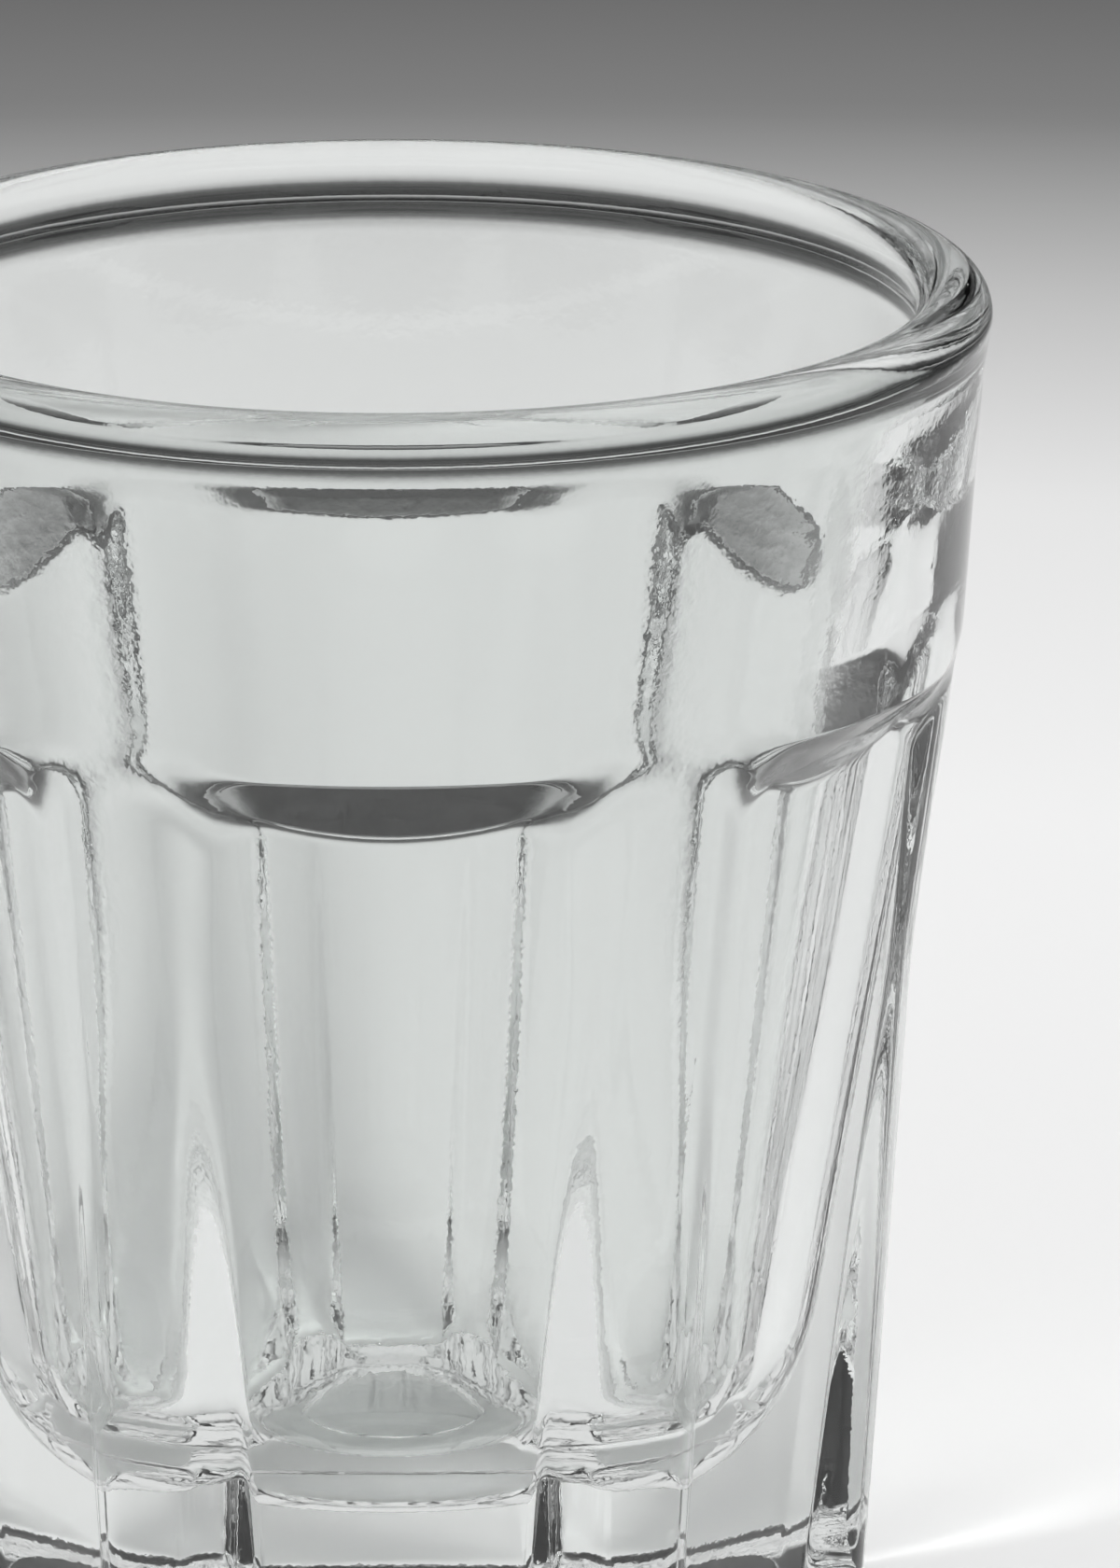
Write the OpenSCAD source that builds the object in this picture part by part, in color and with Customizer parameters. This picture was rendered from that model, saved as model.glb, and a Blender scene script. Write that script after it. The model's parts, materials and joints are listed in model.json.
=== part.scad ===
// Pressed clear glass for a single shot: thick rounded lip, plain drinking band,
// flat panels with a ledge at their tops between round columns, and a heavy bottom.
// The axis is Z, the table is z = 0, and one panel faces -Y.

/* [Overall] */
// Height from the table to the top of the lip
glass_h = 59; // [56:0.5:66]
// Outside diameter of the lip
rim_d = 52; // [50:0.5:58]
// Outside diameter across the columns at the table
base_d = 41.6; // [40:0.1:43]
// Outside diameter across the columns at the waist
waist_d = 45.6; // [44:0.1:46.8]
// Height of the waist, where the columns start to flare out to the band
waist_h = 28; // [22:0.5:32]
// Outside diameter of the band at the ledges
band_d = 49.4; // [48.4:0.1:50.4]

/* [Lip] */
// Thickness of the rounded lip
lip_t = 3.3; // [2.6:0.1:4.2]
// How far the lip swells out past the line of the wall
lip_swell = 0.2; // [0.05:0.05:0.5]
// Height of wall that counts as lip, below the middle of the rounding
lip_neck = 2.5; // [2:0.1:4]

/* [Panels] */
// Number of flat panels
panel_count = 6; // [5:1:8]
// Depth of a panel's middle inside the band, at the ledge
panel_depth_top = 2.8; // [2.3:0.05:3.1]
// Depth of a panel's middle below the columns' crests, at the table
panel_depth_foot = 3.5; // [2.9:0.05:3.9]
// Radius of the rounded columns at the table
column_r_foot = 4.7; // [4:0.1:5.2]
// Radius of the rounded columns at the ledge
column_r_top = 6.8; // [5.6:0.1:7.6]
// Height of the ledge's upper edge
ledge_h = 42.8; // [37:0.1:45]
// Lean of the ledge from the vertical, in degrees
ledge_lean = 44; // [36:1:52]
// Plain band left above the ledges on the panelled wall
ledge_land = 1; // [0.5:0.1:2]

/* [Cavity] */
// Height of the cavity's floor above the table
floor_h = 7; // [5:0.5:11]
// Inside diameter at the floor, before its corner is rounded
floor_d = 25; // [21:0.2:26]
// Radius of the corner between the floor and the wall
floor_corner = 8; // [5:0.5:9]

/* [Foot] */
// Depth of the recess under the bottom
recess_depth = 0.8; // [0.4:0.1:1.6]
// Diameter of the recess under the bottom
recess_d = 26; // [18:0.5:29]
// How far the heel steps in from the columns at the table
heel_inset = 0.6; // [0.2:0.1:1.2]

/* [Hidden] */
$fn = 96;

glass = [0.86, 0.9, 0.88, 0.6];
rim_r = rim_d / 2;
base_r = base_d / 2;
waist_r = waist_d / 2;
band_r = band_d / 2;
lip_foot_r = rim_r - lip_swell;
lip_r = lip_t / 2;
lip_z = glass_h - lip_r;
mouth_r = rim_r - lip_t;
floor_r = floor_d / 2;
band_z = ledge_h + ledge_land;
neck_z = lip_z - lip_neck;
sham_z = floor_h + floor_corner;
pitch = 360 / panel_count;
clear = rim_r / 2;
crest_bite = 0.05;

// Radius of the columns' crests and the band at a height
outside = [[0, base_r], [waist_h, waist_r], [ledge_h, band_r], [lip_z, lip_foot_r]];
function crest_r(z) = lookup(z, outside);

// Radius of the cavity's straight wall at a height
function cavity_r(z) = floor_r + (mouth_r - floor_r) * (z - floor_h) / (lip_z - floor_h);

// Distance of a panel's plane from the axis at a height
panel_foot_r = base_r - panel_depth_foot;
panel_top_r = band_r - panel_depth_top;
function panel_r(z) = panel_foot_r + (panel_top_r - panel_foot_r) * z / ledge_h;

// Point where a line from p touches a circle, side is 1 or -1
function touch(p, centre, r, side) =
    let (gap = centre - p, reach = norm(gap), turn = side * asin(r / reach), aim = atan2(gap[1], gap[0]))
    p + sqrt(reach * reach - r * r) * [cos(aim + turn), sin(aim + turn)];

// Section of the cavity, from its axis out
module cavity_section() {
    lean = atan((mouth_r - floor_r) / (lip_z - floor_h));
    corner = [cavity_r(sham_z) - floor_corner / cos(lean), sham_z];
    wall_start = corner + floor_corner * [cos(lean), -sin(lean)];
    polygon([
        [0, floor_h],
        [corner[0], floor_h],
        corner,
        wall_start,
        [cavity_r(glass_h), glass_h],
        [0, glass_h]
    ]);
    translate(corner) circle(floor_corner);
}

// Half section of the plain outside between two heights
module body_section(low, high) {
    intersection() {
        polygon([
            [0, 0],
            [base_r, 0],
            [waist_r, waist_h],
            [band_r, ledge_h],
            [lip_foot_r, lip_z],
            [0, lip_z]
        ]);
        translate([0, low]) square([rim_d, high - low]);
    }
}

// Blocks outside the panels' planes, all round
module panel_blocks() {
    for (i = [0 : panel_count - 1])
        rotate([0, 0, i * pitch - 90])
            rotate([90, 0, 0])
                linear_extrude(height = rim_d, center = true)
                    polygon([
                        [panel_r(-clear), -clear],
                        [rim_r + clear, -clear],
                        [rim_r + clear, glass_h],
                        [panel_r(glass_h), glass_h]
                    ]);
}

// Rounded columns, wider at the top, whose crests the plain outside trims
module columns() {
    foot_axis = base_r + crest_bite - column_r_foot;
    top_axis = band_r + crest_bite - column_r_top;
    lean = atan((top_axis - foot_axis) / ledge_h);
    growth = (column_r_top - column_r_foot) * cos(lean) / ledge_h;
    reach = ledge_h / cos(lean) + clear;
    for (i = [0 : panel_count - 1])
        rotate([0, 0, (i + 0.5) * pitch - 90])
            translate([foot_axis, 0, 0])
                rotate([0, lean, 0])
                    translate([0, 0, -clear])
                        cylinder(
                            r1 = column_r_foot - growth * clear,
                            r2 = column_r_foot + growth * reach,
                            h = reach + clear
                        );
}

// Steep cone that carries the ledges out from the panels to the band
module ledge_cone() {
    run = clear * tan(ledge_lean);
    rotate_extrude()
        polygon([
            [0, ledge_h - clear],
            [band_r - run, ledge_h - clear],
            [band_r + run, ledge_h + clear],
            [0, ledge_h + clear]
        ]);
}

// Everything that is cut away from the plain outside to leave the panels
module panel_cuts() {
    difference() {
        panel_blocks();
        columns();
        ledge_cone();
    }
}

// Rounded lip, tangent to the wall inside and outside
module rim_lip() {
    bead = [rim_r - lip_r, lip_z];
    inner = [cavity_r(neck_z), neck_z];
    outer = [crest_r(neck_z), neck_z];
    color(glass)
        rotate_extrude() {
            polygon([inner, outer, touch(outer, bead, lip_r, -1), bead, touch(inner, bead, lip_r, 1)]);
            translate(bead) circle(lip_r);
        }
}

// Plain conical band that the drinker's lip and fingers meet
module drinking_band() {
    color(glass)
        rotate_extrude()
            difference() {
                body_section(band_z, neck_z);
                cavity_section();
            }
}

// Tapered wall with the flat panels, their ledges and the columns between them
module panel_wall() {
    color(glass)
        difference() {
            rotate_extrude()
                difference() {
                    body_section(sham_z, band_z);
                    cavity_section();
                }
            panel_cuts();
        }
}

// Heavy bottom, with the rounded floor of the cavity
module base_sham() {
    color(glass)
        difference() {
            rotate_extrude()
                difference() {
                    body_section(recess_depth, sham_z);
                    cavity_section();
                }
            panel_cuts();
        }
}

// Ring that the glass stands on, with a sloping heel
module foot_ring() {
    color(glass)
        difference() {
            rotate_extrude()
                polygon([
                    [recess_d / 2, 0],
                    [base_r - heel_inset, 0],
                    [crest_r(recess_depth), recess_depth],
                    [recess_d / 2, recess_depth]
                ]);
            panel_cuts();
        }
}

rim_lip();
drinking_band();
panel_wall();
base_sham();
foot_ring();
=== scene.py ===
import json
import math

import bpy
import numpy as np
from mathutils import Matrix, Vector

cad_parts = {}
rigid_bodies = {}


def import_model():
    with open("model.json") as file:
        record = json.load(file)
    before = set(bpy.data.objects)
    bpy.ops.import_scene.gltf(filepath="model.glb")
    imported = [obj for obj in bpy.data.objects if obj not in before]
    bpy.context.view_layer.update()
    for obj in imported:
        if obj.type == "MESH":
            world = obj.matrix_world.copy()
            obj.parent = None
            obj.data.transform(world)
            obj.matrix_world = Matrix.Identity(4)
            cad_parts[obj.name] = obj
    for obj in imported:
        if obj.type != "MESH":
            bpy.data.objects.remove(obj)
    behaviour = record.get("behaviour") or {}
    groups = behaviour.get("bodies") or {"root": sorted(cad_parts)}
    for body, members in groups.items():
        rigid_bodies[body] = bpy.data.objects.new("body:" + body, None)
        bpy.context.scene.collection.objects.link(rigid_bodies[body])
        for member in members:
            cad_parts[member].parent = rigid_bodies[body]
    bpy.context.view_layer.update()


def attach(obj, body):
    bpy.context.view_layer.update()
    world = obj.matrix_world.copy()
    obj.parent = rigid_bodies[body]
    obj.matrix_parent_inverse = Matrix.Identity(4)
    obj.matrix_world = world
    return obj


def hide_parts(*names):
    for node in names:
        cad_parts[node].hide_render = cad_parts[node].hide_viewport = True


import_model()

scene = bpy.context.scene
scene.view_settings.view_transform = "Standard"
scene.cycles.max_bounces = 24              # light turns many times inside thick glass
scene.cycles.transmission_bounces = 24
scene.cycles.glossy_bounces = 12
scene.cycles.caustics_reflective = False   # no light mirrored off the glass falls on the paper
scene.cycles.sample_clamp_indirect = 0     # keeps the light that the glass gathers on the paper
scene.cycles.blur_glossy = 0.19            # and softens it
mm = 0.001


def hexToLinear(text):
    values = [int(text[i:i + 2], 16) / 255 for i in (1, 3, 5)]
    return [v / 12.92 if v <= 0.04045 else ((v + 0.055) / 1.055) ** 2.4 for v in values] + [1.0]


def addNode(tree, kind, settings=None, values=None, links=None):
    node = tree.nodes.new(kind)
    for name, value in (settings or {}).items():
        setattr(node, name, value)
    for name, value in (values or {}).items():
        node.inputs[name].default_value = value
    for name, output in (links or {}).items():
        tree.links.new(output, node.inputs[name])
    return node


def setRamp(node, stops):
    ramp = node.color_ramp
    while len(ramp.elements) < len(stops):
        ramp.elements.new(0.5)
    for element, (place, colour) in zip(ramp.elements, stops):
        element.position = place
        element.color = hexToLinear(colour)


# The glass, sizes in millimetres and heights from the table
glass = {
    "height": 59.0,
    "rimR": 26.0,
    "lipR": 1.65,
    "lipStart": -0.12,            # where the lip's rounding starts outside, radians
    "beadTurn": 0.5,              # how far it turns under inside, radians
    "baseR": 20.75,               # crest of a column at the table
    "columnSlope": 0.07,          # how far the crest moves out for each millimetre up
    "flare": (27.0, 45.0),        # heights between which the crests swell out to the band
    "bandR": 25.8,                # band carried up to the middle of the lip
    "bandSlope": 0.0732,          # how far the band moves in for each millimetre down
    "bandEnd": 2.2,               # below the middle of the lip
    "panels": 6,
    "panelFootR": 17.3,           # panel plane at the table
    "panelTopR": 21.9,            # panel plane at the ledge's upper edge
    "cornerTrim": 0.4,            # how far below the crests the panels' corners are cut off
    "columnR": (3.9, 5.6),        # rounding of a column at the table and at the ledge
    "valleySoft": 0.2,            # easing where a panel meets a column
    "ledgeTop": 42.8,
    "ledgeLean": (44.0, 33.0),    # degrees from the vertical, on a panel and on a column
    "ledgeEase": (13.0, 21.0),    # degrees from a panel's middle where that change starts and ends
    "ledgeSoft": (0.35, 0.85),    # easing under a ledge, on a panel and on a column
    "edgeSoft": (0.1, 0.6),       # easing of its upper edge, on a panel and on a column
    "heelR": 1.0,                 # rounding between the foot and the outside
    "recessR": 13.0,
    "recessDepth": 0.8,
    "recessSide": 1.2,            # width of the recess's sloping side
    "floorHeight": 7.0,
    "floorR": 12.8,               # straight wall carried down to the floor
    "floorCorner": 7.4,           # rounding between the floor and the wall
    "markR": 6.3,                 # ring that the plunger leaves on the floor
    "markWidth": 0.35,
    "markDepth": 0.1,
    "mouthR": 23.15,              # straight wall carried up to the middle of the lip
    "wallStart": 1.6,             # below the middle of the lip
    "middleR": 0.3,               # smallest ring, round the axis
    "heelGap": 0.4,               # from the heel's last ring up to the wall's first
    "closeRings": (5.0, 0.6),     # reach of closer rings below and above the ledge's upper edge
    "closeGaps": (0.1, 0.3),      # from those rings to the next ones below and above
    "cornerGap": 0.3,             # from the floor corner's first ring up to the wall's last
    "around": 1152,               # points round each ring
    # how many rings each stretch has, from the underside to the floor
    "rings": {"recess": 14, "recessSide": 10, "bearing": 8, "heel": 10, "lowWall": 60, "ledges": 110,
              "band": 24, "lip": 70, "cavityWall": 90, "floorCorner": 60, "floor": 60},
}


def softMin(a, b, k):
    h = np.clip(0.5 + 0.5 * (b - a) / k, 0, 1)
    return b * (1 - h) + a * h - k * h * (1 - h)


def softMax(a, b, k):
    return -softMin(-a, -b, k)


def smooth(value, low, high):
    t = np.clip((value - low) / (high - low), 0, 1)
    return t * t * (3 - 2 * t)


def between(ends, t):
    return ends[0] + (ends[1] - ends[0]) * t


lipZ = glass["height"] - glass["lipR"]
wallSlope = (glass["mouthR"] - glass["floorR"]) / (lipZ - glass["floorHeight"])
halfPitch = math.pi / glass["panels"]
turn = np.arange(glass["around"]) * 2 * math.pi / glass["around"]
fromPanel = np.abs((turn + halfPitch) % (2 * halfPitch) - halfPitch)   # from the nearest panel's middle
ease = smooth(np.degrees(fromPanel), *glass["ledgeEase"])              # 0 on a panel, 1 on a column
ledgeSlope = np.tan(np.radians(between(glass["ledgeLean"], ease)))


def crestAt(z):
    column = glass["baseR"] + glass["columnSlope"] * z
    band = glass["bandR"] - glass["bandSlope"] * (lipZ - z)
    return between((column, band), smooth(z, *glass["flare"]))


def panelAt(z):
    return between((glass["panelFootR"], glass["panelTopR"]), z / glass["ledgeTop"])


def wallAt(z):
    return glass["floorR"] + wallSlope * (z - glass["floorHeight"])


def outsideAt(z):
    crest = crestAt(z)
    columnR = between(glass["columnR"], z / glass["ledgeTop"])
    columnAxis = crest - columnR
    across = columnAxis * np.sin(halfPitch - fromPanel)
    column = columnAxis * np.cos(halfPitch - fromPanel)
    column = column + np.sqrt(np.maximum(columnR ** 2 - across ** 2, 0))
    column = np.where(np.abs(across) < columnR, column, 0)
    panel = np.minimum(panelAt(z) / np.cos(fromPanel), crest - glass["cornerTrim"])
    ledge = crestAt(glass["ledgeTop"]) - (glass["ledgeTop"] - z) * ledgeSlope
    section = softMax(panel, column, glass["valleySoft"])
    section = softMax(section, ledge, between(glass["ledgeSoft"], ease))
    return softMin(np.full_like(section, crest), section, between(glass["edgeSoft"], ease))


rings = []   # (radii round the ring, height), from the middle of the underside to the middle of the floor


def addRing(radius, z):
    rings.append((np.broadcast_to(radius, turn.shape), z))


# underside: shallow recess, then the bearing ring out to the heel
count = glass["rings"]
heel = outsideAt(glass["heelR"]) - glass["heelR"]
for r in np.linspace(glass["middleR"], glass["recessR"] - glass["recessSide"], count["recess"]):
    addRing(r, glass["recessDepth"])
for t in np.linspace(0, 1, count["recessSide"])[1:]:
    r = glass["recessR"] - glass["recessSide"] * (1 - t)
    addRing(r, glass["recessDepth"] * (1 - smooth(t, 0, 1)))
for t in np.linspace(0, 1, count["bearing"])[1:]:
    addRing(between((glass["recessR"], heel), t), 0.0)
for a in np.linspace(0, math.pi / 2, count["heel"])[1:]:
    z = glass["heelR"] * (1 - math.cos(a))
    addRing(outsideAt(z) - glass["heelR"] * (1 - math.sin(a)), z)
# outside wall, closer rings at the ledges
closeLow = glass["ledgeTop"] - glass["closeRings"][0]
closeHigh = glass["ledgeTop"] + glass["closeRings"][1]
gapLow, gapHigh = glass["closeGaps"]
wallFoot = glass["heelR"] + glass["heelGap"]
for z in np.concatenate([np.linspace(wallFoot, closeLow - gapLow, count["lowWall"]),
                         np.linspace(closeLow, closeHigh, count["ledges"]),
                         np.linspace(closeHigh + gapHigh, lipZ - glass["bandEnd"], count["band"])]):
    addRing(outsideAt(z), z)
# lip, turned under inside into a bead
lipMiddle = glass["rimR"] - glass["lipR"]
for a in np.linspace(glass["lipStart"], math.pi + glass["beadTurn"], count["lip"]):
    addRing(lipMiddle + glass["lipR"] * math.cos(a), lipZ + glass["lipR"] * math.sin(a))
# cavity: straight wall, rounded corner, then the floor with the plunger's ring mark
wallLean = math.atan(wallSlope)
cornerZ = glass["floorHeight"] + glass["floorCorner"]
cornerR = wallAt(cornerZ) - glass["floorCorner"] / math.cos(wallLean)
wallEnd = cornerZ - glass["floorCorner"] * math.sin(wallLean) + glass["cornerGap"]
for z in np.linspace(lipZ - glass["wallStart"], wallEnd, count["cavityWall"]):
    addRing(wallAt(z), z)
for a in np.linspace(-wallLean, -math.pi / 2, count["floorCorner"]):
    addRing(cornerR + glass["floorCorner"] * math.cos(a), cornerZ + glass["floorCorner"] * math.sin(a))
for r in np.linspace(cornerR, glass["middleR"], count["floor"])[1:]:
    mark = math.exp(-((r - glass["markR"]) / (glass["markWidth"] / 2)) ** 2)
    addRing(r, glass["floorHeight"] - glass["markDepth"] * mark)

# vertices ring by ring, with one in the middle of the underside and of the floor
around = glass["around"]
points = [np.array([[0, 0, rings[0][1]]])]
for radii, z in rings:
    points.append(np.column_stack([radii * np.sin(turn), -radii * np.cos(turn), np.full(around, z)]))
points.append(np.array([[0, 0, rings[-1][1]]]))
points = np.concatenate(points) * mm
step = np.arange(around)
following = (step + 1) % around
faces = [(0, 1 + b, 1 + a) for a, b in zip(step, following)]
for i in range(len(rings) - 1):
    low, high = 1 + i * around, 1 + (i + 1) * around
    corners = (low + step, low + following, high + following, high + step)
    faces.extend(zip(*(corner.tolist() for corner in corners)))
last = 1 + (len(rings) - 1) * around
faces.extend((last + a, last + b, len(points) - 1) for a, b in zip(step.tolist(), following.tolist()))
mesh = bpy.data.meshes.new("pressed_glass_body")
mesh.from_pydata(points.tolist(), [], faces)
mesh.shade_smooth()
body = bpy.data.objects.new("pressed_glass_body", mesh)
scene.collection.objects.link(body)
print("glass body:", len(points), "vertices,", len(faces), "faces")

# Pressed soda-lime glass, fire-polished after moulding: clear with a trace of green, and
# the mould leaves a faint orange peel on its faces that blurs what is seen through them
glassLook = {
    "colour": "#EFF1F0",
    "ior": 1.52,
    "roughness": 0.0,
    "peelSize": 0.6,      # mm
    "peelHeight": 0.004,  # mm
    "peelDetail": 2.0,    # finer layers of the peel
}
pressedGlass = bpy.data.materials.new("pressed_soda_lime_glass")
pressedGlass.use_nodes = True
tree = pressedGlass.node_tree
shader = tree.nodes["Principled BSDF"]
shader.inputs["Base Color"].default_value = hexToLinear(glassLook["colour"])
shader.inputs["Roughness"].default_value = glassLook["roughness"]
shader.inputs["IOR"].default_value = glassLook["ior"]
shader.inputs["Transmission Weight"].default_value = 1.0
place = addNode(tree, "ShaderNodeTexCoord")
peel = addNode(tree, "ShaderNodeTexNoise",
               values={"Scale": 1 / (glassLook["peelSize"] * mm), "Detail": glassLook["peelDetail"]},
               links={"Vector": place.outputs["Object"]})
peelBump = addNode(tree, "ShaderNodeBump",
                   values={"Strength": 1.0, "Distance": glassLook["peelHeight"] * mm},
                   links={"Height": peel.outputs["Fac"]})
tree.links.new(peelBump.outputs["Normal"], shader.inputs["Normal"])
mesh.materials.append(pressedGlass)
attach(body, "root")
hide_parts("rim_lip", "drinking_band", "panel_wall", "base_sham", "foot_ring")
print("glass material ready")

# Matt paper sweep, its colour painted pale round the glass and graded to dark grey further off: a painted
# pool of light falling off away from the glass
floorLook = {
    "size": 6.0,     # metres
    "drop": 0.0001,  # metres below the foot, so that the two faces never meet
    "reach": 1.0,    # metres, radius at the ramp's end
    "stops": [(0.0, "#F2F2F2"), (0.13, "#F6F6F6"), (0.19, "#EAEAEA"), (0.233, "#C4C4C4"),
              (0.275, "#828282"), (0.33, "#585858"), (0.6, "#3C3C3C"), (1.0, "#343434")],
}
half, drop = floorLook["size"] / 2, floorLook["drop"]
floorCorners = [(-half, -half, -drop), (half, -half, -drop), (half, half, -drop), (-half, half, -drop)]
floorMesh = bpy.data.meshes.new("paper_sweep")
floorMesh.from_pydata(floorCorners, [], [(0, 1, 2, 3)])
floor = bpy.data.objects.new("paper_sweep", floorMesh)
scene.collection.objects.link(floor)
paper = bpy.data.materials.new("matt_paper")
paper.use_nodes = True
tree = paper.node_tree
shader = tree.nodes["Principled BSDF"]
shader.inputs["Roughness"].default_value = 1.0
shader.inputs["Specular IOR Level"].default_value = 0.0
place = addNode(tree, "ShaderNodeTexCoord")
distance = addNode(tree, "ShaderNodeVectorMath", {"operation": "LENGTH"},
                   links={0: place.outputs["Object"]})
share = addNode(tree, "ShaderNodeMapRange", values={"From Max": floorLook["reach"]},
                links={"Value": distance.outputs["Value"]})
# painted light: the paper's colour is graded from pale to dark grey with distance, standing in for light
# falling off away from the glass
paintedLightPool = addNode(tree, "ShaderNodeValToRGB", links={"Fac": share.outputs["Result"]})
setRamp(paintedLightPool, floorLook["stops"])
tree.links.new(paintedLightPool.outputs["Color"], shader.inputs["Base Color"])
floorMesh.materials.append(paper)

# Soft light: an even dome and a softbox on the camera's right light the paper, and the glass itself
# sees a dark room with a pale strip at the horizon, under a bright ceiling
roomLook = {
    "dome": "#B8B8B8",
    "softbox": "#FFFFFF",
    "softboxSide": 36.0,            # degrees to the right of the camera's side
    "softboxHeight": 18.0,          # degrees above the table
    "softboxWidth": (27.0, 11.0),   # degrees from its middle where it ends and where it is full
    "softboxStrength": 12.5,
    "stops": [(0.0, "#A8A8A8"), (0.03, "#686868"), (0.06, "#202020"), (0.36, "#202020"),
              (0.55, "#E8E8E8")],   # 0 is level and 1 is overhead
}
world = bpy.data.worlds.new("studio")
scene.world = world
world.use_nodes = True
tree = world.node_tree
tree.nodes.clear()
place = addNode(tree, "ShaderNodeTexCoord")
height = addNode(tree, "ShaderNodeSeparateXYZ", links={"Vector": place.outputs["Generated"]})
room = addNode(tree, "ShaderNodeValToRGB", links={"Fac": height.outputs["Z"]})
setRamp(room, roomLook["stops"])
seen = addNode(tree, "ShaderNodeBackground", links={"Color": room.outputs["Color"]})
side, up = math.radians(roomLook["softboxSide"]), math.radians(roomLook["softboxHeight"])
towards = (math.sin(side) * math.cos(up), -math.cos(side) * math.cos(up), math.sin(up))
facing = addNode(tree, "ShaderNodeVectorMath", {"operation": "DOT_PRODUCT"}, values={1: towards},
                 links={0: place.outputs["Generated"]})
glow = addNode(tree, "ShaderNodeMapRange",
               values={"From Min": math.cos(math.radians(roomLook["softboxWidth"][0])),
                       "From Max": math.cos(math.radians(roomLook["softboxWidth"][1])),
                       "To Max": roomLook["softboxStrength"]},
               links={"Value": facing.outputs["Value"]})
softbox = addNode(tree, "ShaderNodeBackground", values={"Color": hexToLinear(roomLook["softbox"])},
                  links={"Strength": glow.outputs["Result"]})
dome = addNode(tree, "ShaderNodeBackground", values={"Color": hexToLinear(roomLook["dome"])})
lit = addNode(tree, "ShaderNodeAddShader",
              links={0: dome.outputs["Background"], 1: softbox.outputs["Background"]})
# rays that haven't met the paper yet see the room, and all others see the lights
rays = addNode(tree, "ShaderNodeLightPath")
direct = addNode(tree, "ShaderNodeMath", {"operation": "MAXIMUM"},
                 links={0: rays.outputs["Is Camera Ray"], 1: rays.outputs["Is Glossy Ray"]})
through = addNode(tree, "ShaderNodeMath", {"operation": "MAXIMUM"},
                  links={0: direct.outputs["Value"], 1: rays.outputs["Is Transmission Ray"]})
unlit = addNode(tree, "ShaderNodeMath", {"operation": "LESS_THAN"}, values={1: 0.5},
                links={0: rays.outputs["Diffuse Depth"]})
shown = addNode(tree, "ShaderNodeMath", {"operation": "MULTIPLY"},
                links={0: through.outputs["Value"], 1: unlit.outputs["Value"]})
mixed = addNode(tree, "ShaderNodeMixShader", links={0: shown.outputs["Value"], 1: lit.outputs["Shader"],
                                                    2: seen.outputs["Background"]})
addNode(tree, "ShaderNodeOutputWorld", links={"Surface": mixed.outputs["Shader"]})
print("floor and light ready")

# Camera where the photograph was taken from, its frame 1200 by 1680
shot = {
    "frame": (1200, 1680),
    "sensor": 36,            # millimetres along the frame's longer side
    "focalPixels": 23872,
    "distance": 0.9622,      # metres to the middle of the lip
    "elevation": 14.14,      # degrees above it
    "lipPixel": (413, 333),  # where the lip's middle lies in the frame
    "nearest": 0.01,         # metres, where the view starts
}
cameraData = bpy.data.cameras.new("photo_camera")
camera = bpy.data.objects.new("photo_camera", cameraData)
scene.collection.objects.link(camera)
cameraData.sensor_width = shot["sensor"]
cameraData.lens = shot["focalPixels"] / shot["frame"][1] * shot["sensor"]
cameraData.clip_start = shot["nearest"]
tilt = math.radians(shot["elevation"])
fromLip = Vector((0, -math.cos(tilt), math.sin(tilt))) * shot["distance"]
camera.location = fromLip + Vector((0, 0, lipZ * mm))
pitch = tilt + math.atan((shot["frame"][1] / 2 - shot["lipPixel"][1]) / shot["focalPixels"])
yaw = math.atan((shot["frame"][0] / 2 - shot["lipPixel"][0]) / shot["focalPixels"])
aim = Vector((math.sin(yaw) * math.cos(pitch), math.cos(yaw) * math.cos(pitch), -math.sin(pitch)))
camera.rotation_euler = aim.to_track_quat("-Z", "Y").to_euler()
scene.camera = camera
print("camera ready")
